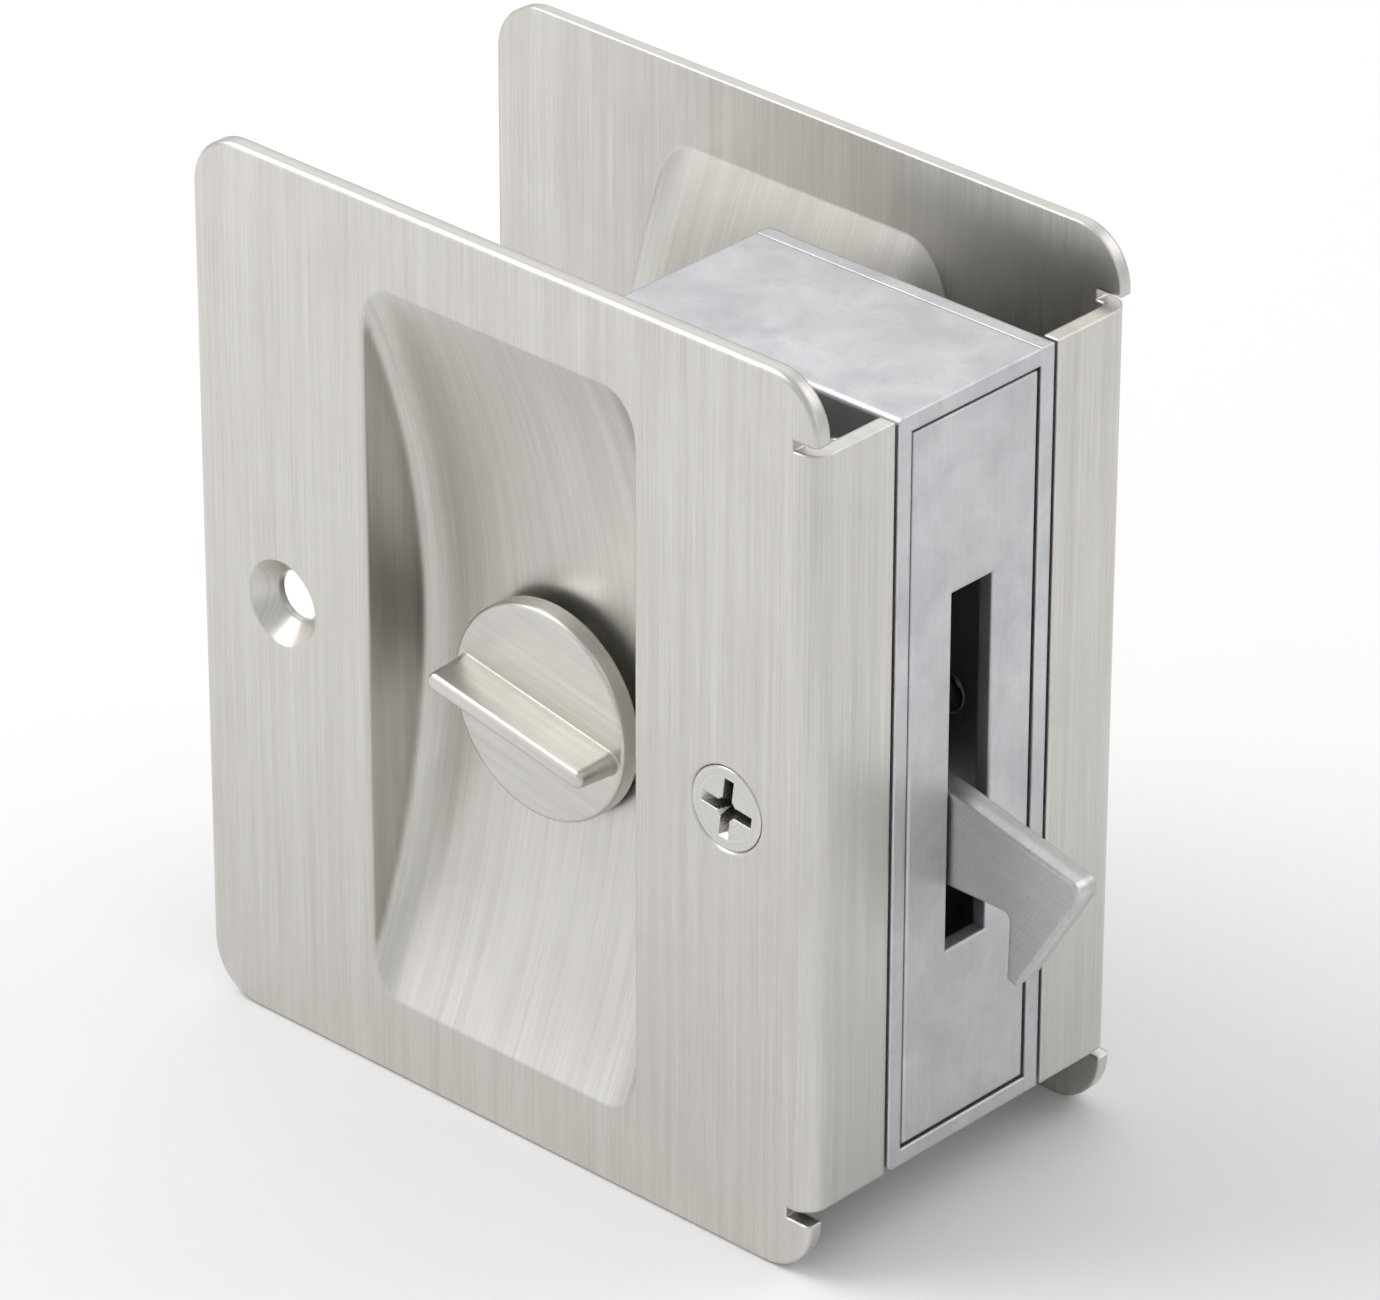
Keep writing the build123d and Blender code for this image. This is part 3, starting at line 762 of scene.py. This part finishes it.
def makeScrewTree():
    tree, takes, gives = newTree("plateScrew", screwSet)
    head, crest, core = (takes[label] for label in ("Head Radius", "Crest Radius", "Core Radius"))
    slope = takes["Cone Slope"]
    rimDrop = calc(tree, "MULTIPLY", takes["Rim"], -1.0)
    rimRadius = calc(tree, "SUBTRACT", head, calc(tree, "MULTIPLY", takes["Rim"], slope))
    coneEnd = calc(tree, "DIVIDE", calc(tree, "SUBTRACT", crest, head), slope)
    threadTop = calc(tree, "SUBTRACT", coneEnd, calc(tree, "SUBTRACT", crest, core))
    end = calc(tree, "MULTIPLY", takes["Length"], -1.0)
    tip = calc(tree, "ADD", end, takes["Tip"])
    profile = (
        (0.0, 0.0),
        (calc(tree, "SUBTRACT", rimRadius, takes["Rim"]), 0.0),
        (rimRadius, rimDrop),
        (crest, coneEnd),
        (core, threadTop),
        (core, tip),
        (calc(tree, "MULTIPLY", core, takes["Tip Taper"]), end),
        (0.0, end),
    )
    sockets = {"Mesh 1": lathe(tree, profile, takes["Segments"])}
    cut = addNode(tree, "GeometryNodeMeshBoolean", sockets, operation="DIFFERENCE", solver="EXACT")
    for shape in crossRecess(tree, takes):
        feed(tree, cut.inputs["Mesh 2"], shape)
    blank = welded(tree, cut.outputs[0], cutGap)
    whole = joined(tree, blank, rolledThread(tree, takes, threadTop, tip))
    screw = keepPlace(tree, moved(tree, whole, Rotation=triple(tree, z=takes["Twist"])))
    setPair(tree, screw, takes, gives, math.pi / 2, -math.pi)
    return tree


screwNodes = ("front_plate_screw", "rear_plate_screw")
bakeTree("plateScrews", makeScrewTree(), screwSet, "lock", "screw_plate", *screwNodes)


# Case rivets: peened domes over a shouldered tenon
rivetSet = {
    "headHeight": 0.0007,
    "tenonRadius": 0.0015,
    "shoulderRadius": 0.0025,
    "panelSheet": 0.0015,
    "domeSteps": (0, 20, 38, 54, 68, 80, 90),
    "segments": 48,
}
peenedRivet = metal("peenedRivet", ownAxisLook, ringPattern)


def rivetSizes(node, shoulderEnd):
    low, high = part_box(node)
    head = (high[0] - low[0]) / 2
    return {
        "Head Radius": head,
        "Head Height": rivetSet["headHeight"],
        "Case Half": high[1] - rivetSet["headHeight"],
        "Tenon Radius": rivetSet["tenonRadius"],
        "Shoulder Radius": rivetSet["shoulderRadius"],
        "Shoulder End": shoulderEnd,
        "Segments": rivetSet["segments"],
        "Start": (low[0] + head, 0.0, low[2] + head),
        "Step": (0.0, 0.0, high[2] - low[2] - 2 * head),
        "Material": peenedRivet,
    }


def makeRivetTree(sizes):
    tree, takes, gives = newTree("caseRivet", sizes)
    half = []
    for angle in rivetSet["domeSteps"]:
        bend = math.radians(angle)
        radius = calc(tree, "MULTIPLY", takes["Head Radius"], math.sin(bend))
        height = calc(tree, "MULTIPLY_ADD", takes["Head Height"], math.cos(bend), takes["Case Half"])
        half.append((radius, height))
    half.append((takes["Tenon Radius"], takes["Case Half"]))
    half.append((takes["Tenon Radius"], takes["Shoulder End"]))
    half.append((takes["Shoulder Radius"], takes["Shoulder End"]))
    other = [(radius, calc(tree, "MULTIPLY", height, -1.0)) for radius, height in reversed(half)]
    rivet = keepPlace(tree, lathe(tree, half + other, takes["Segments"]))
    setPair(tree, rivet, takes, gives, math.pi / 2, 0.0)
    return tree


# The front pair is shouldered inside the panel's ears, the back pair inside the case's walls
frontSizes = rivetSizes("front_rivets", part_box("edge_panel")[1][1] - rivetSet["panelSheet"])
backSizes = rivetSizes("back_rivets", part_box("rear_spacer")[1][1])
rivetTree = makeRivetTree(frontSizes)
bakeTree("frontRivets", rivetTree, frontSizes, "lock", "bright_steel", "front_rivets")
bakeTree("backRivets", rivetTree, backSizes, "lock", "bright_steel", "back_rivets")


# Push-on clips: a flat ring with prongs that bite into the groove of each turn
clipLow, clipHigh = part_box("thumb_turn_clip")
clipSet = {
    "Outer Radius": (clipHigh[0] - clipLow[0]) / 2,
    "Ring Width": 0.0019,
    "Bore Radius": 0.00345,
    "Sheet": 0.0004,
    "Segments": 60,
    "Prongs": 6,
    "Prong Width": 0.0030,
    "Prong Taper": 0.40,
    "Prong Rise": 0.0003,
    "Prong Bend": 1.6,
    "Prong Cuts": 6,
    "Start": ((clipLow[0] + clipHigh[0]) / 2, clipLow[1], (clipLow[2] + clipHigh[2]) / 2),
    "Step": (0.0, -2 * clipLow[1], 0.0),
    "Material": metal("springClip", springLook, ringPattern),
}


def makeProng(tree, takes, root):
    # A bar from the ring to the bore, tapered and bent up towards its end
    sheet, bore = takes["Sheet"], takes["Bore Radius"]
    size = triple(tree, 1.0, takes["Prong Width"], sheet)
    sockets = {"Size": size, "Vertices X": takes["Prong Cuts"]}
    bar = addNode(tree, "GeometryNodeMeshCube", sockets).outputs[0]
    parts = ownPlace(tree)
    along = calc(tree, "ADD", parts["X"], 0.5)
    inward = calc(tree, "SUBTRACT", 1.0, along)
    reach = calc(tree, "SUBTRACT", calc(tree, "MULTIPLY_ADD", sheet, 0.5, root), bore)
    narrowing = calc(tree, "MULTIPLY", inward, takes["Prong Taper"])
    lift = calc(tree, "MULTIPLY", calc(tree, "POWER", inward, takes["Prong Bend"]), takes["Prong Rise"])
    x = calc(tree, "MULTIPLY_ADD", along, reach, bore)
    y = calc(tree, "MULTIPLY", parts["Y"], calc(tree, "SUBTRACT", 1.0, narrowing))
    z = calc(tree, "ADD", calc(tree, "MULTIPLY_ADD", sheet, 0.5, parts["Z"]), lift)
    return reshaped(tree, bar, triple(tree, x, y, z))


def makeClipTree():
    tree, takes, gives = newTree("pushClip", clipSet)
    outer, sheet = takes["Outer Radius"], takes["Sheet"]
    inner = calc(tree, "SUBTRACT", outer, takes["Ring Width"])
    profile = ((inner, sheet), (outer, sheet), (outer, 0.0), (inner, 0.0), (inner, sheet))
    ring = lathe(tree, profile, takes["Segments"])
    spots = addNode(tree, "GeometryNodePoints", {"Count": takes["Prongs"]}).outputs[0]
    angle = calc(tree, "MULTIPLY", pointIndex(tree), calc(tree, "DIVIDE", math.tau, takes["Prongs"]))
    prongs = turnedCopies(tree, makeProng(tree, takes, inner), spots, triple(tree, z=angle))
    setPair(tree, joined(tree, ring, prongs), takes, gives, -math.pi / 2, math.pi)
    return tree


clipNodes = ("thumb_turn_clip", "emergency_clip")
bakeTree("pushClips", makeClipTree(), clipSet, "turn", "spring_steel", *clipNodes)
